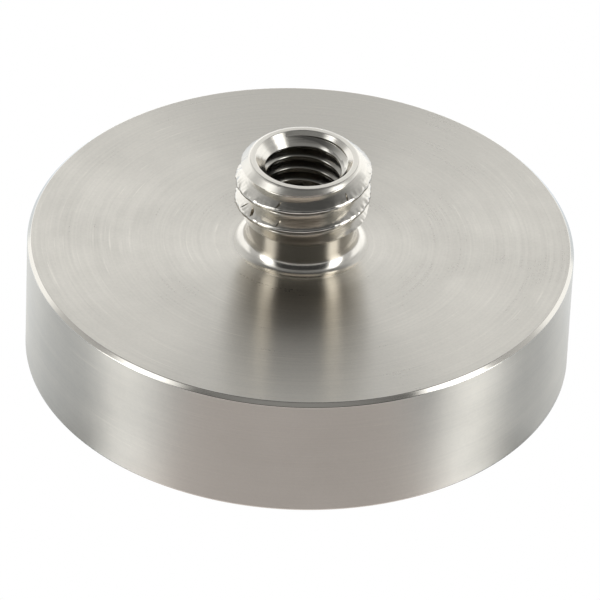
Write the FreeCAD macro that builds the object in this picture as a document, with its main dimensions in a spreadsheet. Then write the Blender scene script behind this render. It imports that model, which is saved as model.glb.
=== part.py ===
"""A stainless-steel magnet base: a turned disc with a hollow threaded stud, and the magnet
system that its underside holds.

The frame is in millimetres. The origin is the centre of the underside, +Z points up along the
stud's axis, and every piece is turned about that axis.
"""

import FreeCAD
import Part
import Sketcher
import math
import os

SHEET = "Dimensions"

# Driving dimensions. Radii are from the stud's axis and heights are from the underside.
DRIVING = {
    # turned housing
    "disc_radius": 19.0,
    "disc_height": 9.0,
    "rim_chamfer": 0.26,
    "base_chamfer": 0.12,
    "recess_radius": 17.0,
    "recess_depth": 6.5,
    # stud: 3/8-16 UNC outside, M6 x 1 in its bore, M5 in the hole below the bore
    "stud_height": 7.0,
    "stud_major_radius": 4.74,
    "stud_chamfer": 0.95,
    "neck_radius": 3.74,
    "neck_length": 2.15,
    "neck_fillet": 0.95,
    "thread_lead_in": 1.06,
    "bore_radius": 2.55,
    "bore_countersink": 0.82,
    "bore_depth": 5.2,
    "drill_point_half_angle": 59.0,
    "lower_bore_radius": 2.1,
    # flux cup, held in the recess by a thin bond line
    "bond_line": 0.05,
    "cup_wall": 2.0,
    "cup_floor": 2.0,
    "cup_edge_break": 0.15,
    # ring magnet, a little below flush so that the cup's rim takes the wear
    "magnet_radius": 13.5,
    "magnet_setback": 0.2,
    "magnet_edge_break": 0.25,
    "screw_clearance_radius": 2.75,
    # rings between the magnet and the cup's wall
    "centring_ring_height": 1.5,
    "potting_setback": 0.15,
    # M5 x 10 countersunk socket screw
    "screw_setback": 0.5,
    "screw_length": 10.0,
    "screw_head_radius": 4.8,
    "screw_head_edge": 0.25,
    "screw_shank_radius": 2.5,
    "screw_thread_radius": 2.05,
    "screw_point_chamfer": 0.4,
    "socket_across_flats": 3.0,
    "socket_depth": 2.0,
}

# Dimensions that follow from the driving ones, as formulas in the same sheet.
DERIVED = {
    "stud_top": "disc_height + stud_height",
    "thread_start": "disc_height + neck_length",
    "thread_full": "thread_start + thread_lead_in",
    "chamfer_start": "stud_top - stud_chamfer",
    "chamfer_end_radius": "stud_major_radius - stud_chamfer",
    "mouth_radius": "bore_radius + bore_countersink",
    "mouth_bottom": "stud_top - bore_countersink",
    "bore_floor": "stud_top - bore_depth",
    "drill_point_bottom":
        "bore_floor - (bore_radius - lower_bore_radius) / tan(drill_point_half_angle * 1 deg)",
    "rim_start": "disc_height - rim_chamfer",
    "rim_radius": "disc_radius - rim_chamfer",
    "base_radius": "disc_radius - base_chamfer",
    "cup_radius": "recess_radius - bond_line",
    "cup_inner_radius": "cup_radius - cup_wall",
    "cup_ceiling": "recess_depth - cup_floor",
    "cup_break_radius": "cup_radius - cup_edge_break",
    "cup_break_height": "recess_depth - cup_edge_break",
    "magnet_break_radius": "magnet_radius - magnet_edge_break",
    "magnet_break_height": "magnet_setback + magnet_edge_break",
    "head_rim_height": "screw_setback + screw_head_edge",
    "magnet_mouth_radius": "screw_head_radius + head_rim_height - magnet_setback",
    "magnet_cone_height": "head_rim_height + screw_head_radius - screw_clearance_radius",
    "head_cone_height": "head_rim_height + screw_head_radius - screw_shank_radius",
    "screw_end": "screw_setback + screw_length",
    "screw_point_start": "screw_end - screw_point_chamfer",
    "screw_point_radius": "screw_thread_radius - screw_point_chamfer",
    "centring_bottom": "cup_ceiling - centring_ring_height",
    "potting_height": "centring_bottom - potting_setback",
    "socket_corner_radius": "socket_across_flats / sqrt(3)",
}


def make_sheet(doc):
    """Write the driving dimensions and the formulas into one spreadsheet, a named cell each."""
    sheet = doc.addObject("Spreadsheet::Sheet", SHEET)
    rows = list(DRIVING.items()) + [(name, "=" + text) for name, text in DERIVED.items()]
    for row, (name, value) in enumerate(rows, start=1):
        sheet.set(f"A{row}", name)
        sheet.set(f"B{row}", str(value))
        sheet.setAlias(f"B{row}", name)
    doc.recompute()
    return sheet


def cell(name):
    """The expression that reads one named cell."""
    return f"{SHEET}.{name}"


def origin_feature(body, role):
    """One of a body's own origin planes or axes."""
    return next(item for item in body.Origin.OriginFeatures if item.Role == role)


def make_body(doc, name):
    body = doc.addObject("PartDesign::Body", name)
    body.Label = name
    return body


def sketch_on(body, name, role):
    sketch = body.newObject("Sketcher::SketchObject", name)
    sketch.AttachmentSupport = [(origin_feature(body, role), "")]
    sketch.MapMode = "FlatFace"
    return sketch


def turned_sketch(body, name, corners):
    """Draw half of a turned section in the XZ plane.

    Each corner is a pair of cell names, radius and height. None stands for zero, which puts the
    corner on the axis or on the base plane.
    """
    sheet = body.Document.getObject(SHEET)
    sketch = sketch_on(body, name, "XZ_Plane")
    places = [
        FreeCAD.Vector(
            getattr(sheet, radius) if radius else 0,
            getattr(sheet, height) if height else 0,
            0,
        )
        for radius, height in corners
    ]
    count = len(places)
    for index in range(count):
        sketch.addGeometry(Part.LineSegment(places[index], places[(index + 1) % count]), False)
    for index in range(count):
        following = (index + 1) % count
        sketch.addConstraint(Sketcher.Constraint("Coincident", index, 2, following, 1))
    for index, (radius, height) in enumerate(corners):
        bind_corner(sketch, index, "DistanceX", -2, radius, places[index].x)
        bind_corner(sketch, index, "DistanceY", -1, height, places[index].y)
    return sketch


def bind_corner(sketch, index, kind, axis_line, name, value):
    """Hold the first point of one line at a cell's distance from the origin, or on an axis."""
    if name is None:
        sketch.addConstraint(Sketcher.Constraint("PointOnObject", index, 1, axis_line))
        return
    number = sketch.addConstraint(Sketcher.Constraint(kind, -1, 1, index, 1, value))
    sketch.setExpression(f"Constraints[{number}]", cell(name))


def turn(body, name, corners):
    """Turn a half section through a full circle about the body's Z axis."""
    sketch = turned_sketch(body, name + "_section", corners)
    revolution = body.newObject("PartDesign::Revolution", name + "_turning")
    revolution.Profile = sketch
    revolution.ReferenceAxis = (sketch, ["V_Axis"])
    revolution.Angle = 360.0
    body.Document.recompute()
    return revolution


def ring_edges(shape, radius, height):
    """Names of the circular edges of one radius at one height."""
    names = []
    for number, edge in enumerate(shape.Edges, start=1):
        curve = edge.Curve
        if not isinstance(curve, Part.Circle):
            continue
        if math.isclose(curve.Radius, radius, abs_tol=1e-6) and math.isclose(
            curve.Center.z, height, abs_tol=1e-6
        ):
            names.append(f"Edge{number}")
    return names


def make_stud_housing(doc, sheet):
    """Turned stainless disc and stud in one piece, with a recess below and a hole right through.

    The M6 bore comes down from the stud's mouth, and a smaller tapped hole for the retaining
    screw comes up to meet it. The threads are plain walls here: the stud at its major diameter,
    the holes at their minor ones.
    """
    body = make_body(doc, "stud_housing")
    turning = turn(
        body,
        "housing",
        [
            ("recess_radius", None),
            ("base_radius", None),
            ("disc_radius", "base_chamfer"),
            ("disc_radius", "rim_start"),
            ("rim_radius", "disc_height"),
            ("neck_radius", "disc_height"),
            ("neck_radius", "thread_start"),
            ("stud_major_radius", "thread_full"),
            ("stud_major_radius", "chamfer_start"),
            ("chamfer_end_radius", "stud_top"),
            ("mouth_radius", "stud_top"),
            ("bore_radius", "mouth_bottom"),
            ("bore_radius", "bore_floor"),
            ("lower_bore_radius", "drill_point_bottom"),
            ("lower_bore_radius", "recess_depth"),
            ("recess_radius", "recess_depth"),
        ],
    )
    fillet = body.newObject("PartDesign::Fillet", "neck_root")
    fillet.Base = (turning, ring_edges(turning.Shape, sheet.neck_radius, sheet.disc_height))
    fillet.Radius = sheet.neck_fillet
    fillet.setExpression("Radius", cell("neck_fillet"))
    body.Tip = fillet
    return body


def make_pole_cup(doc):
    """Low-carbon steel cup that carries the flux round to the underside's rim."""
    body = make_body(doc, "pole_cup")
    turn(
        body,
        "cup",
        [
            ("cup_inner_radius", None),
            ("cup_radius", None),
            ("cup_radius", "cup_break_height"),
            ("cup_break_radius", "recess_depth"),
            ("screw_clearance_radius", "recess_depth"),
            ("screw_clearance_radius", "cup_ceiling"),
            ("cup_inner_radius", "cup_ceiling"),
        ],
    )
    return body


def make_ring_magnet(doc):
    """Sintered ring with eased edges and a countersunk hole that seats the screw's head."""
    body = make_body(doc, "ring_magnet")
    turn(
        body,
        "magnet",
        [
            ("magnet_mouth_radius", "magnet_setback"),
            ("magnet_break_radius", "magnet_setback"),
            ("magnet_radius", "magnet_break_height"),
            ("magnet_radius", "cup_ceiling"),
            ("screw_clearance_radius", "cup_ceiling"),
            ("screw_clearance_radius", "magnet_cone_height"),
        ],
    )
    return body


def make_retaining_screw(doc):
    """Countersunk screw with a hexagon socket, its thread a plain wall in the tapped hole."""
    body = make_body(doc, "retaining_screw")
    turning = turn(
        body,
        "screw",
        [
            (None, "screw_setback"),
            ("screw_head_radius", "screw_setback"),
            ("screw_head_radius", "head_rim_height"),
            ("screw_shank_radius", "head_cone_height"),
            ("screw_shank_radius", "recess_depth"),
            ("screw_thread_radius", "recess_depth"),
            ("screw_thread_radius", "screw_point_start"),
            ("screw_point_radius", "screw_end"),
            (None, "screw_end"),
        ],
    )
    sketch = sketch_on(body, "socket_hexagon", "XY_Plane")
    sketch.setExpression("AttachmentOffset.Base.z", cell("screw_setback"))
    draw_hexagon(sketch, body.Document.getObject(SHEET).socket_corner_radius)
    pocket = body.newObject("PartDesign::Pocket", "hexagon_socket")
    pocket.Profile = sketch
    pocket.Reversed = True
    pocket.setExpression("Length", cell("socket_depth"))
    doc.recompute()
    if not pocket.Shape.Volume < turning.Shape.Volume:
        raise RuntimeError("the hexagon socket removed nothing")
    return body


def draw_hexagon(sketch, corner_radius):
    """Six equal sides with their corners on a construction circle about the origin."""
    sides = 6
    corners = [
        FreeCAD.Vector(
            corner_radius * math.cos(math.tau * index / sides),
            corner_radius * math.sin(math.tau * index / sides),
            0,
        )
        for index in range(sides)
    ]
    for index in range(sides):
        line = Part.LineSegment(corners[index], corners[(index + 1) % sides])
        sketch.addGeometry(line, False)
    circle = sketch.addGeometry(
        Part.Circle(FreeCAD.Vector(0, 0, 0), FreeCAD.Vector(0, 0, 1), corner_radius), True
    )
    sketch.addConstraint(Sketcher.Constraint("Coincident", circle, 3, -1, 1))
    for index in range(sides):
        following = (index + 1) % sides
        sketch.addConstraint(Sketcher.Constraint("Coincident", index, 2, following, 1))
        sketch.addConstraint(Sketcher.Constraint("PointOnObject", index, 1, circle))
        if index:
            sketch.addConstraint(Sketcher.Constraint("Equal", 0, index))
    sketch.addConstraint(Sketcher.Constraint("PointOnObject", 0, 1, -1))
    number = sketch.addConstraint(Sketcher.Constraint("Radius", circle, corner_radius))
    sketch.setExpression(f"Constraints[{number}]", cell("socket_corner_radius"))


def make_gap_ring(doc, name, bottom, height):
    """A ring that fills the gap between the magnet and the cup's wall over part of its height."""
    outer = doc.addObject("Part::Cylinder", name + "_outer")
    inner = doc.addObject("Part::Cylinder", name + "_inner")
    for cylinder, radius in ((outer, "cup_inner_radius"), (inner, "magnet_radius")):
        cylinder.setExpression("Radius", cell(radius))
        cylinder.setExpression("Height", cell(height))
        cylinder.setExpression("Placement.Base.z", cell(bottom))
    ring = doc.addObject("Part::Cut", name)
    ring.Base = outer
    ring.Tool = inner
    ring.Label = name
    return ring


def check(doc, pieces):
    """Stop if any object failed to rebuild or any piece isn't one valid closed solid."""
    for item in doc.Objects:
        if {"Invalid", "Error"} & set(item.State):
            raise RuntimeError(f"{item.Label} failed: {item.State}")
    for piece in pieces:
        shape = piece.Shape
        if shape.isNull() or not shape.isValid() or len(shape.Solids) != 1:
            raise RuntimeError(f"{piece.Label} is not one valid solid")


def main():
    doc = FreeCAD.newDocument("magnet_base")
    sheet = make_sheet(doc)
    pieces = [
        make_stud_housing(doc, sheet),
        make_pole_cup(doc),
        make_ring_magnet(doc),
        make_gap_ring(doc, "centring_ring", "centring_bottom", "centring_ring_height"),
        make_gap_ring(doc, "potting_ring", "potting_setback", "potting_height"),
        make_retaining_screw(doc),
    ]
    doc.recompute()
    check(doc, pieces)
    os.makedirs("parts", exist_ok=True)
    for piece in pieces:
        piece.Shape.exportStep(f"parts/{piece.Label}.step")
        print(f"{piece.Label}: {piece.Shape.Volume:.1f} cubic mm")


main()
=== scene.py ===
"""A turned stainless-steel magnet base: a disc with a hollow threaded stud, on a white studio table.

Run as a script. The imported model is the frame: every piece is placed from its boxes, in metres.
"""

import math

import bmesh
import bpy
from mathutils import Matrix, Vector, noise


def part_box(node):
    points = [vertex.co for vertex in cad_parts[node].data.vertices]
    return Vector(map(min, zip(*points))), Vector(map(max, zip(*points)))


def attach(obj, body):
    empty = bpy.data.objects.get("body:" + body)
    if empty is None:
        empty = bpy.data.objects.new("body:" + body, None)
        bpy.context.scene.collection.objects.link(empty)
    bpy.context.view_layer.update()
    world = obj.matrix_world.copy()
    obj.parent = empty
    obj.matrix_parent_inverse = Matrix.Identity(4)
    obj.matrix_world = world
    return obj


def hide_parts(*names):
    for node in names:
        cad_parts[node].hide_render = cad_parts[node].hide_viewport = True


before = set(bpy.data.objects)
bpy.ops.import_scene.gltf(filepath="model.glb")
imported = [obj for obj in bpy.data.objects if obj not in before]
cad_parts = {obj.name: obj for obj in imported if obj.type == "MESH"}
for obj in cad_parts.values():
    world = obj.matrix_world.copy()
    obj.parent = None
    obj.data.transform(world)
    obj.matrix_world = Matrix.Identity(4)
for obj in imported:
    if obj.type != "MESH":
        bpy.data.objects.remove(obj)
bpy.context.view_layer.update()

bl_info = {
    "name": "Turned Magnet Base",
    "version": (1, 0, 0),
    "blender": (4, 5, 0),
    "location": "View3D > Sidebar > Magnet Base",
    "description": "A stainless magnet base with a hollow threaded stud, and its studio",
    "category": "Add Mesh",
}

MM = 0.001
TAU = math.tau
SHARP_EDGE = 26     # degrees between two faces, over which their edge stays sharp


# ---------------------------------------------------------------------------------------------
# Sizes and colours
# ---------------------------------------------------------------------------------------------

def node_height(name):
    """Lowest and highest point of one node, in metres."""
    low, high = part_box(name)
    return low.z, high.z


DISC_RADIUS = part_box("stud_housing")[1].x
STUD_TOP = node_height("stud_housing")[1]
RECESS_CEILING = node_height("pole_cup")[1]
CUP_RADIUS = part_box("pole_cup")[1].x


def length(name, description, default):
    """A size that a user would change, shown in the scene's own units."""
    return bpy.props.FloatProperty(
        name=name, description=description, default=default, min=0.0, precision=5, unit="LENGTH"
    )


def hex_colour(text):
    """An sRGB hex value as linear red, green and blue."""
    channels = (int(text[i:i + 2], 16) / 255 for i in (1, 3, 5))
    return [c / 12.92 if c <= 0.04045 else ((c + 0.055) / 1.055) ** 2.4 for c in channels]


def colour(name, description, default):
    return bpy.props.FloatVectorProperty(
        name=name, description=description, default=hex_colour(default), size=3,
        min=0.0, max=1.0, subtype="COLOR",
    )


class MagnetBaseSizes(bpy.types.PropertyGroup):
    """Sizes of the turned housing and its two threads."""

    stud_height: length("Stud height", "From the disc's top face to the stud's mouth", 7 * MM)
    rim_break: length("Rim break", "Polished break round the disc's top edge", 0.26 * MM)
    base_break: length("Base break", "Small break round the disc's bottom edge", 0.12 * MM)
    neck_radius: length("Neck radius", "Plain relief between the disc and the thread", 3.74 * MM)
    neck_length: length("Neck length", "Height of the plain relief", 2.15 * MM)
    neck_fillet: length("Neck fillet", "Radius where the neck runs into the disc", 0.95 * MM)
    major_radius: length("Outer thread radius", "Over the crests of the 3/8-16 thread", 4.74 * MM)
    outer_pitch: length("Outer thread pitch", "Crest to crest, sixteen to the inch", 25.4 / 16 * MM)
    stud_chamfer: length("Stud chamfer", "Lead-in chamfer at the stud's top", 0.95 * MM)
    bore_radius: length("Bore radius", "Over the crests of the M6 thread", 2.55 * MM)
    bore_pitch: length("Bore thread pitch", "Crest to crest of the M6 thread", 1 * MM)
    countersink: length("Countersink", "Chamfer at the bore's mouth", 0.82 * MM)
    bore_depth: length("Bore depth", "From the mouth to the full bore's floor", 5.2 * MM)
    lower_radius: length("Lower bore radius", "Tapped hole that holds the screw", 2.1 * MM)
    recess_radius: length("Recess radius", "Pocket for the magnet system", 17 * MM)


class MagnetBaseColours(bpy.types.PropertyGroup):
    """Colours of the finishes."""

    stainless: colour("Stainless", "304 stainless, freshly turned", "#c9c3b8")
    cup: colour("Cup", "Satin nickel plate on low-carbon steel", "#b9b5a9")
    magnet: colour("Magnet", "Bright nickel plate on the magnet", "#c8c5bc")
    nylon: colour("Nylon", "Natural nylon", "#d8d0b8")
    resin: colour("Resin", "Black potting epoxy", "#141414")
    screw: colour("Screw", "Cold-headed A2 stainless", "#bdbab3")
    table: colour("Table", "White studio table, as the steel sees it", "#fffbff")
    table_sides: colour("Table sides", "White table under the cool backdrop", "#ebf4ff")
    tent: colour("Tent", "Cool white of the tent's cloth", "#f6faff")


# ---------------------------------------------------------------------------------------------
# Node materials
# ---------------------------------------------------------------------------------------------

def add_node(tree, kind, inputs=None, stops=(), **settings):
    """Add one node with its settings, give its inputs values or links, and fill its ramp.

    Ramp stops are (position, grey level), in order.
    """
    node = tree.nodes.new(kind)
    for name, value in settings.items():
        setattr(node, name, value)
    for key, value in (inputs or {}).items():
        if isinstance(value, bpy.types.NodeSocket):
            tree.links.new(value, node.inputs[key])
        else:
            node.inputs[key].default_value = value
    for index, (position, level) in enumerate(stops):
        elements = node.color_ramp.elements
        element = elements[index] if index < 2 else elements.new(position)
        element.position = position
        element.color = (level, level, level, 1)
    return node


def new_material(name, base, metallic, roughness):
    """An empty material with its shader, whose even values are set on the shader's own sockets."""
    material = bpy.data.materials.new(name)
    material.use_nodes = True
    tree = material.node_tree
    tree.nodes.clear()
    shader = add_node(tree, "ShaderNodeBsdfPrincipled", {
        "Base Color": (*base, 1), "Metallic": metallic, "Roughness": roughness,
    })
    add_node(tree, "ShaderNodeOutputMaterial", {"Surface": shader.outputs["BSDF"]})
    return material, tree, shader


def axis_distance(tree):
    """A point's distance from the stud's axis, and its height."""
    place = add_node(tree, "ShaderNodeTexCoord").outputs["Object"]
    flat = add_node(tree, "ShaderNodeVectorMath", {0: place, 1: (1, 1, 0)}, operation="MULTIPLY")
    distance = add_node(tree, "ShaderNodeVectorMath", {0: flat.outputs[0]}, operation="LENGTH")
    parts = add_node(tree, "ShaderNodeSeparateXYZ", {0: place})
    return distance.outputs["Value"], parts.outputs["Z"]


def turning_lines(tree, along, spacing, run, low=0.3, high=0.7):
    """The lay of the lathe tool: noise that changes every spacing along one length, and only
    every run round the axis. Both are in metres; low and high set the contrast."""
    place = add_node(tree, "ShaderNodeTexCoord").outputs["Object"]
    slow = add_node(tree, "ShaderNodeVectorMath", {0: place, "Scale": 1 / run}, operation="SCALE")
    fast = add_node(tree, "ShaderNodeMath", {0: along, 1: spacing}, operation="DIVIDE")
    parts = add_node(tree, "ShaderNodeSeparateXYZ", {0: slow.outputs[0]})
    joined = add_node(tree, "ShaderNodeCombineXYZ", {
        "X": fast.outputs[0], "Y": parts.outputs["X"], "Z": parts.outputs["Y"],
    })
    lines = add_node(tree, "ShaderNodeTexNoise", {
        "Vector": joined.outputs[0], "Scale": 1.0, "Detail": 3.0, "Roughness": 0.6,
    })
    clear = add_node(tree, "ShaderNodeMapRange", {
        "Value": lines.outputs["Fac"], "From Min": low, "From Max": high,
    })
    return clear.outputs[0]


def speckle(tree, size, detail, low, high):
    """Even noise whose grains are the given size in metres; low and high set the contrast."""
    place = add_node(tree, "ShaderNodeTexCoord").outputs["Object"]
    grains = add_node(tree, "ShaderNodeTexNoise", {
        "Vector": place, "Scale": 1 / size, "Detail": detail, "Roughness": 0.6,
    })
    clear = add_node(tree, "ShaderNodeMapRange", {
        "Value": grains.outputs["Fac"], "From Min": low, "From Max": high,
    })
    return clear.outputs[0]


def stainless_turned(name, base, across, spread, roughness, anisotropy, lines, depth):
    """304 stainless as the lathe tool leaves it.

    The lay runs round the axis, so a highlight is drawn out across it. It is shown as fine
    lines: faced surfaces vary with the distance from the axis, turned ones with the height.
    """
    material, tree, shader = new_material(name, base, 1.0, roughness)
    distance, height = axis_distance(tree)
    along = distance if across == "radius" else height
    # feed marks of 0.05 mm are too fine to show, so the lines are drawn at the spacing given
    fine = turning_lines(tree, along, lines, 11 * MM)
    broad = turning_lines(tree, along, 9 * lines, 20 * MM)
    # the steel's grain shows as a soft speckle of about a fifth of a millimetre
    grain = speckle(tree, 0.22 * MM, 1.0, 0.15, 0.85)
    # and it clouds slowly from place to place
    cloud = speckle(tree, 7 * MM, 3.0, 0.35, 0.65)
    # here and there the tool has left a bolder mark that runs part of the way round
    marks = turning_lines(tree, along, 1.2 * lines, 9 * MM, 0.60, 0.72)
    patches = speckle(tree, 4 * MM, 2.0, 0.47, 0.57)
    arcs = add_node(tree, "ShaderNodeMath", {0: marks, 1: patches}, operation="MULTIPLY").outputs[0]
    tone = 0.0
    for layer, weight in ((fine, 0.25), (broad, 0.15), (cloud, 0.35), (grain, 0.25), (arcs, 0.5)):
        tone = add_node(tree, "ShaderNodeMath", {0: layer, 1: weight, 2: tone},
                        operation="MULTIPLY_ADD").outputs[0]
    dark = [c * (1 - spread) for c in base]
    light = [min(1.0, c * (1 + spread)) for c in base]
    mix = add_node(tree, "ShaderNodeMix", {"Factor": tone, "A": (*dark, 1), "B": (*light, 1)},
                   data_type="RGBA")
    tree.links.new(mix.outputs["Result"], shader.inputs["Base Color"])
    uneven = add_node(tree, "ShaderNodeMapRange", {
        "Value": tone, "From Min": 0.2, "From Max": 0.8,
        "To Min": roughness * 0.9, "To Max": roughness * 1.1,
    })
    tree.links.new(uneven.outputs[0], shader.inputs["Roughness"])
    bump = add_node(tree, "ShaderNodeBump", {
        "Height": fine, "Strength": 1.0, "Distance": depth,
    })
    tree.links.new(bump.outputs[0], shader.inputs["Normal"])
    tangent = add_node(tree, "ShaderNodeTangent", direction_type="RADIAL", axis="Z")
    tree.links.new(tangent.outputs[0], shader.inputs["Tangent"])
    shader.inputs["Anisotropic"].default_value = anisotropy
    shader.inputs["Anisotropic Rotation"].default_value = 0.25
    return material


def plated_metal(name, base, roughness, mottle, grain_size, depth):
    """A plated or cold-formed metal: a slightly uneven satin with fine pits."""
    material, tree, shader = new_material(name, base, 1.0, roughness)
    place = add_node(tree, "ShaderNodeTexCoord").outputs["Object"]
    cloud = add_node(tree, "ShaderNodeTexNoise", {
        "Vector": place, "Scale": 1 / (2.5 * MM), "Detail": 5.0, "Roughness": 0.6,
    }).outputs["Fac"]
    grain = add_node(tree, "ShaderNodeTexNoise", {
        "Vector": place, "Scale": 1 / grain_size, "Detail": 3.0, "Roughness": 0.7,
    }).outputs["Fac"]
    dark = [c * (1 - mottle) for c in base]
    mix = add_node(tree, "ShaderNodeMix", {"Factor": cloud, "A": (*dark, 1), "B": (*base, 1)},
                   data_type="RGBA")
    tree.links.new(mix.outputs["Result"], shader.inputs["Base Color"])
    rough = add_node(tree, "ShaderNodeMapRange", {
        "Value": cloud, "From Min": 0.3, "From Max": 0.7,
        "To Min": roughness * 0.8, "To Max": roughness * 1.25,
    })
    tree.links.new(rough.outputs[0], shader.inputs["Roughness"])
    bump = add_node(tree, "ShaderNodeBump", {"Height": grain, "Strength": 1.0, "Distance": depth})
    tree.links.new(bump.outputs[0], shader.inputs["Normal"])
    return material


def cast_plastic(name, base, roughness, mottle, grain_size, depth):
    """A moulded or cast polymer: soft colour drift and a slightly uneven skin."""
    material, tree, shader = new_material(name, base, 0.0, roughness)
    shader.inputs["IOR"].default_value = 1.53
    place = add_node(tree, "ShaderNodeTexCoord").outputs["Object"]
    skin = add_node(tree, "ShaderNodeTexNoise", {
        "Vector": place, "Scale": 1 / grain_size, "Detail": 3.0, "Roughness": 0.55,
    }).outputs["Fac"]
    dark = [c * (1 - mottle) for c in base]
    mix = add_node(tree, "ShaderNodeMix", {"Factor": skin, "A": (*dark, 1), "B": (*base, 1)},
                   data_type="RGBA")
    tree.links.new(mix.outputs["Result"], shader.inputs["Base Color"])
    bump = add_node(tree, "ShaderNodeBump", {"Height": skin, "Strength": 1.0, "Distance": depth})
    tree.links.new(bump.outputs[0], shader.inputs["Normal"])
    return material


# ---------------------------------------------------------------------------------------------
# Turned and threaded meshes
# ---------------------------------------------------------------------------------------------

def arc(centre, radius, start, end, steps):
    """Points of an arc in the turned section, from one angle to another, in degrees."""
    points = []
    for step in range(steps + 1):
        angle = math.radians(start + (end - start) * step / steps)
        points.append((centre[0] + radius * math.cos(angle), centre[1] + radius * math.sin(angle)))
    return points


def turned_mesh(name, section, segments):
    """Turn a closed section of (radius, height) points about the Z axis."""
    mesh = bmesh.new()
    rings = []
    for step in range(segments):
        angle = TAU * step / segments
        cosine, sine = math.cos(angle), math.sin(angle)
        rings.append([mesh.verts.new((r * cosine, r * sine, z)) for r, z in section])
    count = len(section)
    for step in range(segments):
        here, there = rings[step], rings[(step + 1) % segments]
        for index in range(count):
            following = (index + 1) % count
            mesh.faces.new((here[index], there[index], there[following], here[following]))
    return finished_object(name, mesh)


def finished_object(name, mesh):
    """Close a bmesh into an object in the scene, its faces turned outwards."""
    bmesh.ops.recalc_face_normals(mesh, faces=mesh.faces)
    data = bpy.data.meshes.new(name)
    mesh.to_mesh(data)
    mesh.free()
    obj = bpy.data.objects.new(name, data)
    bpy.context.scene.collection.objects.link(obj)
    return obj


def helical_cutter(name, section, pitch, start_angle, centre, turns, steps_per_turn):
    """Sweep a closed section of (radius, height) points along a right-hand helix.

    The section passes the given centre height at start_angle and then climbs.
    """
    mesh = bmesh.new()
    rings = []
    steps = int(turns * steps_per_turn)
    for step in range(steps + 1):
        turn = step / steps_per_turn
        angle = start_angle + TAU * turn
        lift = centre + pitch * turn
        cosine, sine = math.cos(angle), math.sin(angle)
        rings.append([mesh.verts.new((r * cosine, r * sine, z + lift)) for r, z in section])
    count = len(section)
    for here, there in zip(rings, rings[1:]):
        for index in range(count):
            following = (index + 1) % count
            mesh.faces.new((here[index], there[index], there[following], here[following]))
    mesh.faces.new(rings[0])
    mesh.faces.new(reversed(rings[-1]))
    return finished_object(name, mesh)


def cut(target, *cutters):
    """Take each closed cutter away from the target, and remove the cutters."""
    for cutter in cutters:
        modifier = target.modifiers.new(cutter.name, "BOOLEAN")
        modifier.operation = "DIFFERENCE"
        modifier.solver = "EXACT"
        modifier.object = cutter
    depsgraph = bpy.context.evaluated_depsgraph_get()
    mesh = bpy.data.meshes.new_from_object(target.evaluated_get(depsgraph))
    target.modifiers.clear()
    old = target.data
    target.data = mesh
    bpy.data.meshes.remove(old)
    for cutter in cutters:
        bpy.data.objects.remove(cutter)


def smooth_with_sharp_edges(obj, degrees):
    for polygon in obj.data.polygons:
        polygon.use_smooth = True
    obj.data.set_sharp_from_angle(angle=math.radians(degrees))


def eased(before, corner, after, reach, steps=4, guard=0.0):
    """A short curve in place of a corner, starting and ending the given reach from it.

    A guard point that far beyond each end keeps the shading of the flats beside it flat.
    """
    before, corner, after = Vector(before), Vector(corner), Vector(after)
    back, ahead = (before - corner).normalized(), (after - corner).normalized()
    start, end = corner + back * reach, corner + ahead * reach
    points = []
    for step in range(steps + 1):
        share = step / steps
        points.append(tuple(start.lerp(corner, share).lerp(corner.lerp(end, share), share)))
    if guard:
        points = [tuple(start + back * guard), *points, tuple(end + ahead * guard)]
    return points


def housing_section(sizes):
    """The housing's half section, from the recess's rim round to the recess's ceiling."""
    disc_top = STUD_TOP - sizes.stud_height
    rim, base = sizes.rim_break, sizes.base_break
    neck, fillet = sizes.neck_radius, sizes.neck_fillet
    thread_start = disc_top + sizes.neck_length
    thread_full = thread_start + sizes.major_radius - neck
    bore_floor = STUD_TOP - sizes.bore_depth
    drill_point = (sizes.bore_radius - sizes.lower_radius) / math.tan(math.radians(59))
    edge_break, guard = 0.03 * MM, 0.03 * MM
    rim_low, rim_high = (DISC_RADIUS, disc_top - rim), (DISC_RADIUS - rim, disc_top)
    section = [(sizes.recess_radius, 0.0)]
    section += eased((sizes.recess_radius, 0.0), (DISC_RADIUS, 0.0), rim_low, base, 4, guard)
    section += eased((DISC_RADIUS, 0.0), rim_low, rim_high, edge_break, 3, guard)
    section += eased(rim_low, rim_high, (neck, disc_top), edge_break, 3, guard)
    section += [(neck + fillet + guard, disc_top)]
    section += arc((neck + fillet, disc_top + fillet), fillet, 270, 180, 14)
    section += [(neck, disc_top + fillet + guard)]
    crests = [
        (neck, thread_start),
        (sizes.major_radius, thread_full),
        (sizes.major_radius, STUD_TOP - sizes.stud_chamfer),
        (sizes.major_radius - sizes.stud_chamfer, STUD_TOP),
        (sizes.bore_radius + sizes.countersink, STUD_TOP),
        (sizes.bore_radius, STUD_TOP - sizes.countersink),
        (sizes.bore_radius, bore_floor),
    ]
    section += [(neck, thread_start - guard), crests[0]]
    for before, corner, after in zip(crests, crests[1:], crests[2:]):
        # the stud's end is faced last, and its outer edge is rubbed rounder than the others
        stud_end_boost = 4 if corner[1] == STUD_TOP and corner[0] > sizes.neck_radius else 1
        section += eased(before, corner, after, stud_end_boost * edge_break, 4, guard)
    section += [
        crests[-1],
        (sizes.lower_radius, bore_floor - drill_point),
        (sizes.lower_radius, RECESS_CEILING),
        (sizes.recess_radius, RECESS_CEILING),
    ]
    return section


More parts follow.
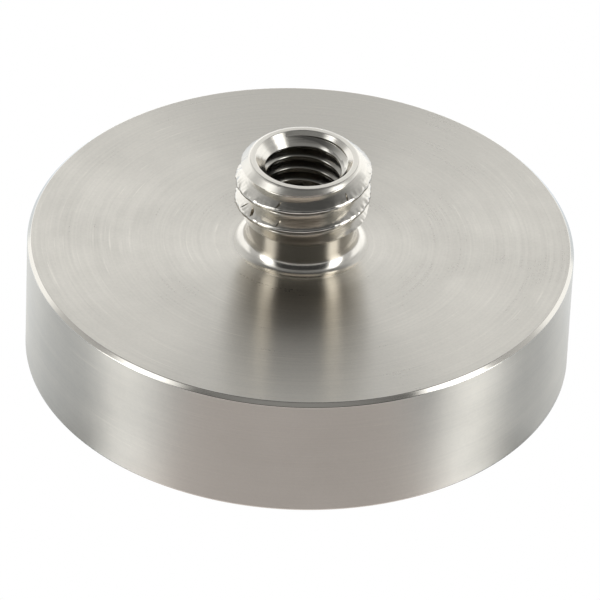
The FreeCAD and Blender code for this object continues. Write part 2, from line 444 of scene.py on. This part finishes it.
def v_groove(edge, side, depth, pitch, crest, crest_ease, root_ease):
    """Section of a 60 degree thread groove, its crest corners and root eased.

    edge is the crest's radius and crest its width; side is +1 for a groove that goes outwards
    and -1 for inwards.
    """
    half_mouth = (pitch - crest) / 2
    half_root = half_mouth - depth * math.tan(math.radians(30))
    on_crest = (-0.002 * MM, half_mouth + 1.05 * crest_ease)
    mouth, root, middle = (0.0, half_mouth), (depth, max(half_root, 0.02 * MM)), (depth, 0.0)
    half = [(-0.1 * MM, on_crest[1])] + eased(on_crest, mouth, root, crest_ease)
    # points down the flank give the roughening something to move
    start, end = Vector(half[-1]), Vector(mouth).lerp(Vector(root), 0.92)
    half += [tuple(start.lerp(end, step / 5)) for step in range(1, 5)]
    half += eased(mouth, root, middle, root_ease, 3)
    upper = [(edge + side * reach, height) for reach, height in half]
    lower = [(radius, -height) for radius, height in reversed(upper)]
    return upper + lower


OUTER_CREST = 0.28 * MM      # width of the stud thread's flat crest
FRONT_CREST = 2.4 * MM       # lowest crest's middle above the disc, where it faces the front


def outer_thread_cutter(sizes):
    """The groove of the stud's 3/8-16 thread."""
    pitch = sizes.outer_pitch
    depth, crest_ease, root_ease = 0.62 * pitch, 0.13 * MM, 0.03 * MM
    section = v_groove(sizes.major_radius, -1, depth, pitch, OUTER_CREST, crest_ease, root_ease)
    # the groove's centre is half a pitch below the crest
    start_height = STUD_TOP - sizes.stud_height + FRONT_CREST - pitch / 2
    return helical_cutter("outer_thread", section, pitch, math.radians(-90), start_height, 5, 240)


def bore_thread_cutter(sizes):
    """The groove of the M6 thread inside the bore."""
    pitch = sizes.bore_pitch
    section = v_groove(sizes.bore_radius, 1, 0.55 * pitch, pitch, 0.18 * MM, 0.07 * MM, 0.01 * MM)
    back_groove = STUD_TOP - sizes.stud_height + 2.75 * MM
    return helical_cutter("bore_thread", section, pitch, math.radians(90), back_groove, 6, 140)


def roughened_crests(obj, sizes):
    """Raise and lower the thread's crests and flanks a little, as a worn tool tears them."""
    root = sizes.major_radius - 0.55 * MM
    crest = sizes.major_radius - 0.15 * MM
    outside = sizes.major_radius + 0.01 * MM
    disc_top = STUD_TOP - sizes.stud_height
    for vertex in obj.data.vertices:
        place = vertex.co
        distance = math.hypot(place.x, place.y)
        if not root < distance < outside or place.z < disc_top + 1.3 * MM:
            continue
        if place.z > STUD_TOP - 0.5 * sizes.stud_chamfer:
            continue
        # the tears are worst at the two sides, where the stud was gripped
        side = min(1.0, abs(place.x) / distance) ** 3
        reach = min(1.0, (distance - root) / (crest - root))
        tear = (0.008 + 0.06 * side) * MM * reach
        wave = noise.noise(place / (0.5 * MM)) + 0.8 * noise.noise(place / (0.2 * MM))
        scale = 1 + tear * (wave - 0.6) / distance
        vertex.co = (place.x * scale, place.y * scale, place.z + 0.6 * tear * wave)


def on_upper_flank(sizes, turn, bearing, inward):
    """The place on a thread turn's upper flank, that far in from the crest's radius.

    Turns are counted up from the lowest crest, and the bearing is in degrees from the front.
    """
    crest = FRONT_CREST + sizes.outer_pitch * (turn + bearing / 360)
    height = crest + OUTER_CREST / 2 + inward * math.tan(math.radians(30))
    around = Matrix.Rotation(math.radians(bearing), 3, "Z")
    place = around @ Vector((0, inward - sizes.major_radius, 0))
    return place + Vector((0, 0, STUD_TOP - sizes.stud_height + height))


def nick_cutter(name, sizes, turn, bearing, lean):
    """A thin pointed chip that cuts a ding down a flank, leaning over by some degrees."""
    width, near_root, near_crest = 0.16 * MM, 0.6 * MM, 0.1 * MM
    top = on_upper_flank(sizes, turn, bearing, near_root)
    foot = on_upper_flank(sizes, turn, bearing + lean, near_crest)
    along = foot - top
    chip = Matrix.Diagonal((width / 2, 1.4 * width, 0.6 * along.length, 1))
    mesh = bmesh.new()
    bmesh.ops.create_icosphere(mesh, subdivisions=1, radius=1.0)
    turned = along.to_track_quat("Z", "Y").to_matrix().to_4x4()
    placed = Matrix.Translation((top + foot) / 2) @ turned
    bmesh.ops.transform(mesh, matrix=placed @ chip, verts=mesh.verts)
    return finished_object(name, mesh)


def nick_cutters(sizes):
    """A few dings on the thread, each by its turn, its bearing and how far it leans."""
    dings = ((2, -20, -3), (1, -20, -3), (1, -65, -2), (1, -55, 4), (2, 45, -3))
    return [nick_cutter(f"nick_{index}", sizes, *ding) for index, ding in enumerate(dings)]


# material slots of the housing, in the order that housing_finishes lists them
FACED, TURNED, THREADED, POLISHED, TAPPED, FACED_END = range(6)


def housing_finishes(stainless):
    """The six zones of finish on the one piece of steel, by slot. The faced top and the bore carry
    painted shade in their colour, the stud's end a painted highlight.
    """
    base = tuple(stainless)
    # painted shade: the faced top is a slightly darker copy of the steel
    faced_painted_shade = tuple(0.96 * channel for channel in base)
    # painted highlight: the stud's end and chamfer are a lighter copy of the steel
    stud_end_boost = tuple(1.08 * channel for channel in base)
    # painted shade: the bore's thread is a much darker copy of the steel, for the shade deep in the
    # bore
    tapped_painted_shade = tuple(0.7 * channel for channel in base)
    return [
        # fine rings that draw highlights out into rays from the stud, over a colour with a little
        # painted shade
        stainless_turned("304 stainless, faced", faced_painted_shade, "radius", 0.17, 0.30, 0.93,
                         0.16 * MM, 0.0006 * MM),
        # fine level lines that draw highlights out into upright bands
        stainless_turned("304 stainless, turned", base, "height", 0.13, 0.45, 0.95,
                         0.14 * MM, 0.0006 * MM),
        # a sharper tool cuts deeper lines, so flanks and neck are bright but broken
        stainless_turned("304 stainless, threaded", base, "height", 0.12, 0.17, 0.4,
                         0.10 * MM, 0.0030 * MM),
        # hardly a line left: a crisp bright edge
        stainless_turned("304 stainless, polished edge", base, "height", 0.04, 0.14, 0.0,
                         0.10 * MM, 0.0004 * MM),
        # slightly ragged, and dimmed with painted shade so that the bore reads as deep
        stainless_turned("304 stainless, tapped", tapped_painted_shade, "height", 0.12, 0.17, 0.3,
                         0.08 * MM, 0.0012 * MM),
        # a soft even sheen over the stud's end and chamfer, from its roughness and from a painted
        # highlight in its colour
        stainless_turned("304 stainless, faced end", stud_end_boost, "radius", 0.12, 0.33, 0.6,
                         0.12 * MM, 0.0010 * MM),
    ]


def stud_finish(sizes, centre, normal):
    """The slot of a face on the stud or in its bore."""
    distance = math.hypot(centre.x, centre.y)
    bore_reach = sizes.bore_radius + 0.7 * MM
    mouth_bottom = STUD_TOP - 0.9 * sizes.countersink
    inward = normal.x * centre.x + normal.y * centre.y < 0
    if inward and centre.z < mouth_bottom and distance < bore_reach:
        return TAPPED
    # just inside the chamfer, at the face's own height
    chamfer_line = sizes.major_radius - sizes.stud_chamfer + STUD_TOP - centre.z - 0.03 * MM
    chamfered = normal.z > 0.65 and not inward and distance > chamfer_line
    return FACED_END if centre.z > STUD_TOP - 0.01 * MM or chamfered else THREADED


def housing_finish(sizes, centre, normal):
    """The slot that a face's place and slope call for."""
    level, upright = 0.995, 0.02
    distance = math.hypot(centre.x, centre.y)
    disc_top = STUD_TOP - sizes.stud_height
    if distance < sizes.major_radius + 0.1 * MM and centre.z > disc_top + 0.001 * MM:
        return stud_finish(sizes, centre, normal)
    if abs(normal.z) > level:
        return FACED
    if abs(normal.z) > upright and distance > CUP_RADIUS:
        return POLISHED
    return TURNED


class MAGNETBASE_OT_housing(bpy.types.Operator):
    """Turn the disc and stud from one bar, then cut the two threads"""

    bl_idname = "magnet_base.housing"
    bl_label = "Housing"
    bl_options = {"REGISTER", "UNDO"}

    def execute(self, context):
        sizes, colours = context.scene.magnet_base_sizes, context.scene.magnet_base_colours
        housing = turned_mesh("turned_housing", housing_section(sizes), 320)
        cut(housing, outer_thread_cutter(sizes), bore_thread_cutter(sizes))
        cut(housing, *nick_cutters(sizes))
        roughened_crests(housing, sizes)
        for material in housing_finishes(colours.stainless):
            housing.data.materials.append(material)
        for face in housing.data.polygons:
            face.material_index = housing_finish(sizes, face.center, face.normal)
        smooth_with_sharp_edges(housing, SHARP_EDGE)
        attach(housing, "root")
        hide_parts("stud_housing")
        return {"FINISHED"}


def finish(node, material):
    """Give one of the frame's own meshes its material."""
    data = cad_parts[node].data
    data.materials.clear()
    data.materials.append(material)


class MAGNETBASE_OT_pole_cup(bpy.types.Operator):
    """Finish the pressed steel cup that lines the recess and carries the magnet's flux"""

    bl_idname = "magnet_base.pole_cup"
    bl_label = "Pole cup"
    bl_options = {"REGISTER", "UNDO"}

    def execute(self, context):
        cup = context.scene.magnet_base_colours.cup
        # pressed, then barrel plated: soft wide highlights and hardly any grain
        finish("pole_cup", plated_metal("Nickel plate on mild steel", cup, 0.32, 0.10,
                                        0.25 * MM, 0.002 * MM))
        return {"FINISHED"}


class MAGNETBASE_OT_ring_magnet(bpy.types.Operator):
    """Finish the sintered ring magnet inside the cup"""

    bl_idname = "magnet_base.ring_magnet"
    bl_label = "Ring magnet"
    bl_options = {"REGISTER", "UNDO"}

    def execute(self, context):
        magnet = context.scene.magnet_base_colours.magnet
        # ground flat before plating: brighter and tighter highlights than the cup's
        finish("ring_magnet", plated_metal("Nickel plate on sintered magnet", magnet, 0.20,
                                           0.06, 0.35 * MM, 0.003 * MM))
        return {"FINISHED"}


class MAGNETBASE_OT_rings(bpy.types.Operator):
    """Finish the two rings that centre and seal the magnet"""

    bl_idname = "magnet_base.rings"
    bl_label = "Centring and potting rings"
    bl_options = {"REGISTER", "UNDO"}

    def execute(self, context):
        colours = context.scene.magnet_base_colours
        # moulded: an even satin skin
        finish("centring_ring", cast_plastic("Moulded nylon", colours.nylon, 0.45, 0.10,
                                             0.5 * MM, 0.004 * MM))
        # poured and left to level: glossy, with slow waves
        finish("potting_ring", cast_plastic("Cast epoxy", colours.resin, 0.18, 0.3,
                                            1.8 * MM, 0.02 * MM))
        return {"FINISHED"}


class MAGNETBASE_OT_screw(bpy.types.Operator):
    """Finish the countersunk screw that holds the cup in the housing"""

    bl_idname = "magnet_base.screw"
    bl_label = "Retaining screw"
    bl_options = {"REGISTER", "UNDO"}

    def execute(self, context):
        screw = context.scene.magnet_base_colours.screw
        # cold headed and tumbled: a dull even sheen
        finish("retaining_screw", plated_metal("Cold-headed A2 stainless", screw, 0.28, 0.08,
                                               0.2 * MM, 0.002 * MM))
        return {"FINISHED"}


# ---------------------------------------------------------------------------------------------
# Studio
# ---------------------------------------------------------------------------------------------

def at(degrees):
    """A bearing from the front, negative to the left, as a share of a full turn about 0.5."""
    return 0.5 + degrees / 360


def bearing_share(tree, direction):
    """The same share for a direction or place, worked out by nodes."""
    parts = add_node(tree, "ShaderNodeSeparateXYZ", {0: direction})
    back = add_node(tree, "ShaderNodeMath", {0: parts.outputs["Y"], 1: -1.0}, operation="MULTIPLY")
    bearing = add_node(tree, "ShaderNodeMath", {0: parts.outputs["X"], 1: back.outputs[0]},
                       operation="ARCTAN2")
    share = add_node(tree, "ShaderNodeMath", {0: bearing.outputs[0], 1: 1 / TAU, 2: 0.5},
                     operation="MULTIPLY_ADD")
    return share.outputs[0]


def white_table(colours):
    """A seamless white table, lit in pools under the two soft boxes and by the backdrop."""
    half = 4.0
    mesh = bmesh.new()
    corners = [mesh.verts.new((x * half, y * half, 0)) for x, y in ((-1, -1), (1, -1), (1, 1), (-1, 1))]
    mesh.faces.new(corners)
    table = finished_object("studio_table", mesh)
    material = bpy.data.materials.new("Matt white acrylic table")
    material.use_nodes = True
    tree = material.node_tree
    tree.nodes.clear()
    place = add_node(tree, "ShaderNodeTexCoord").outputs["Object"]
    pools = add_node(tree, "ShaderNodeValToRGB", {0: bearing_share(tree, place)}, stops=[
        (0.0, 1.2), (at(-105), 1.18), (at(-97), 1.08), (at(-85), 0.89), (at(-74), 0.88),
        (at(-62), 0.74), (at(-50), 0.42), (at(-40), 0.85), (at(-30), 0.98), (at(30), 0.97),
        (at(40), 0.80), (at(48), 0.45), (at(56), 0.44), (at(64), 0.72), (at(74), 0.73),
        (at(85), 0.75), (at(97), 0.82), (at(105), 1.15), (1.0, 1.2),
    ])
    aside = add_node(tree, "ShaderNodeValToRGB", {0: bearing_share(tree, place)}, stops=[
        (at(-45), 1.0), (at(-28), 0.0), (at(28), 0.0), (at(45), 1.0),
    ])
    tint = add_node(tree, "ShaderNodeMix", {
        "Factor": aside.outputs[0], "A": (*colours.table, 1), "B": (*colours.table_sides, 1),
    }, data_type="RGBA")
    near = add_node(tree, "ShaderNodeEmission", {
        "Color": tint.outputs["Result"], "Strength": pools.outputs[0],
    })
    seen = add_node(tree, "ShaderNodeLightPath").outputs["Is Camera Ray"]
    lit = add_node(tree, "ShaderNodeEmission", {"Color": (1, 1, 1, 1), "Strength": 1.0})
    both = add_node(tree, "ShaderNodeMixShader", {0: seen, 1: near.outputs[0], 2: lit.outputs[0]})
    add_node(tree, "ShaderNodeOutputMaterial", {"Surface": both.outputs[0]})
    table.data.materials.append(material)


def studio_surroundings(colours):
    """White tent all round, two soft boxes at the sides, and the dark gap in front."""
    world = bpy.data.worlds.new("White tent")
    bpy.context.scene.world = world
    world.use_nodes = True
    tree = world.node_tree
    tree.nodes.clear()
    direction = add_node(tree, "ShaderNodeTexCoord").outputs["Generated"]
    height = add_node(tree, "ShaderNodeSeparateXYZ", {0: direction}).outputs["Z"]
    share = bearing_share(tree, direction)
    # levels are shares of the soft boxes' own brightness
    front = [(at(-48), 0.03), (at(-35), 0.018), (at(35), 0.018), (at(56), 0.03)]
    walls = add_node(tree, "ShaderNodeValToRGB", {0: share}, stops=[
        (0.0, 0.31), (at(-150), 0.29), (at(-130), 0.25), (at(-100), 0.18), (at(-84), 0.18),
        (at(-77), 0.75), (at(-61), 0.75), *front, (at(65), 1.0), (at(84), 1.0),
        (at(89), 0.19), (at(100), 0.19), (at(130), 0.26), (at(150), 0.30), (1.0, 0.31),
    ])
    backdrop = add_node(tree, "ShaderNodeValToRGB", {0: share}, stops=[
        (0.0, 0.60), (at(-165), 0.55), (at(-150), 0.50), (at(-117), 0.50), (at(-108), 0.24),
        (at(-84), 0.22), (at(-77), 1.5), (at(-62), 1.5), *front, (at(65), 1.7), (at(81), 1.7),
        (at(89), 0.22), (at(108), 0.24), (at(117), 0.50), (at(150), 0.50), (at(165), 0.55),
        (1.0, 0.60),
    ])
    low = add_node(tree, "ShaderNodeValToRGB", {0: height}, stops=[(0.42, 1.0), (0.54, 0.0)])
    sides = add_node(tree, "ShaderNodeMix", {
        "Factor": low.outputs[0], "A": walls.outputs[0], "B": backdrop.outputs[0],
    }, data_type="RGBA")
    side_share = add_node(tree, "ShaderNodeValToRGB", {0: height}, stops=[(0.70, 1.0), (0.80, 0.0)])
    roof = add_node(tree, "ShaderNodeValToRGB", {0: height}, stops=[(0.80, 0.13), (0.95, 0.03)])
    tent = add_node(tree, "ShaderNodeMix", {
        "Factor": side_share.outputs[0], "A": roof.outputs[0], "B": sides.outputs["Result"],
    }, data_type="RGBA")
    # the table's far edge shows as a low bright strip, even in the dark gap
    strip = add_node(tree, "ShaderNodeValToRGB", {0: height}, stops=[(0.05, 0.30), (0.11, 0.0)])
    level = add_node(tree, "ShaderNodeMath", {0: tent.outputs["Result"], 1: strip.outputs[0]},
                     operation="MAXIMUM")
    soft_box = 3.4
    strength = add_node(tree, "ShaderNodeMath", {0: level.outputs[0], 1: soft_box},
                        operation="MULTIPLY")
    lit = add_node(tree, "ShaderNodeBackground", {
        "Color": (*colours.tent, 1), "Strength": strength.outputs[0],
    })
    plain = add_node(tree, "ShaderNodeBackground", {"Color": (1, 1, 1, 1), "Strength": 1.0})
    seen = add_node(tree, "ShaderNodeLightPath").outputs["Is Camera Ray"]
    both = add_node(tree, "ShaderNodeMixShader", {0: seen, 1: lit.outputs[0], 2: plain.outputs[0]})
    add_node(tree, "ShaderNodeOutputWorld", {"Surface": both.outputs[0]})


def studio_camera():
    """A long lens from the front, a little above a third of the way up, rolled slightly."""
    distance, view_width = 500 * MM, 41.9 * MM
    elevation, roll = math.radians(36.0), math.radians(2.5)
    aim = Vector((0, 0, 4.3 * MM))
    data = bpy.data.cameras.new("camera")
    data.sensor_width = 36.0
    data.lens = data.sensor_width * distance / view_width
    data.shift_x = 0.0025
    data.shift_y = -0.008
    data.clip_start = 0.01
    camera = bpy.data.objects.new("camera", data)
    bpy.context.scene.collection.objects.link(camera)
    place = aim + distance * Vector((0, -math.cos(elevation), math.sin(elevation)))
    turn = Matrix.Rotation(math.pi / 2 - elevation, 4, "X") @ Matrix.Rotation(roll, 4, "Z")
    camera.matrix_world = Matrix.Translation(place) @ turn
    bpy.context.scene.camera = camera


class MAGNETBASE_OT_studio(bpy.types.Operator):
    """Lay the white table, light the tent and set the camera"""

    bl_idname = "magnet_base.studio"
    bl_label = "Studio"
    bl_options = {"REGISTER", "UNDO"}

    def execute(self, context):
        white_table(context.scene.magnet_base_colours)
        studio_surroundings(context.scene.magnet_base_colours)
        studio_camera()
        context.scene.view_settings.view_transform = "Standard"
        return {"FINISHED"}


class MAGNETBASE_PT_panel(bpy.types.Panel):
    """Sizes, colours and the steps that build the base"""

    bl_idname = "MAGNETBASE_PT_panel"
    bl_label = "Magnet Base"
    bl_space_type = "VIEW_3D"
    bl_region_type = "UI"
    bl_category = "Magnet Base"

    def draw(self, context):
        for group in (context.scene.magnet_base_sizes, context.scene.magnet_base_colours):
            box = self.layout.box()
            for name in group.bl_rna.properties.keys():
                if name not in ("rna_type", "name"):
                    box.prop(group, name)
        for operator in OPERATORS:
            self.layout.operator(operator.bl_idname)


OPERATORS = (
    MAGNETBASE_OT_studio,
    MAGNETBASE_OT_housing,
    MAGNETBASE_OT_pole_cup,
    MAGNETBASE_OT_ring_magnet,
    MAGNETBASE_OT_rings,
    MAGNETBASE_OT_screw,
)
CLASSES = (MagnetBaseSizes, MagnetBaseColours, *OPERATORS, MAGNETBASE_PT_panel)


def register():
    for item in CLASSES:
        bpy.utils.register_class(item)
    bpy.types.Scene.magnet_base_sizes = bpy.props.PointerProperty(type=MagnetBaseSizes)
    bpy.types.Scene.magnet_base_colours = bpy.props.PointerProperty(type=MagnetBaseColours)


def unregister():
    del bpy.types.Scene.magnet_base_colours
    del bpy.types.Scene.magnet_base_sizes
    for item in reversed(CLASSES):
        bpy.utils.unregister_class(item)


def main():
    register()
    bpy.ops.magnet_base.studio()
    bpy.ops.magnet_base.housing()
    bpy.ops.magnet_base.pole_cup()
    bpy.ops.magnet_base.ring_magnet()
    bpy.ops.magnet_base.rings()
    bpy.ops.magnet_base.screw()


if __name__ == "__main__":
    main()
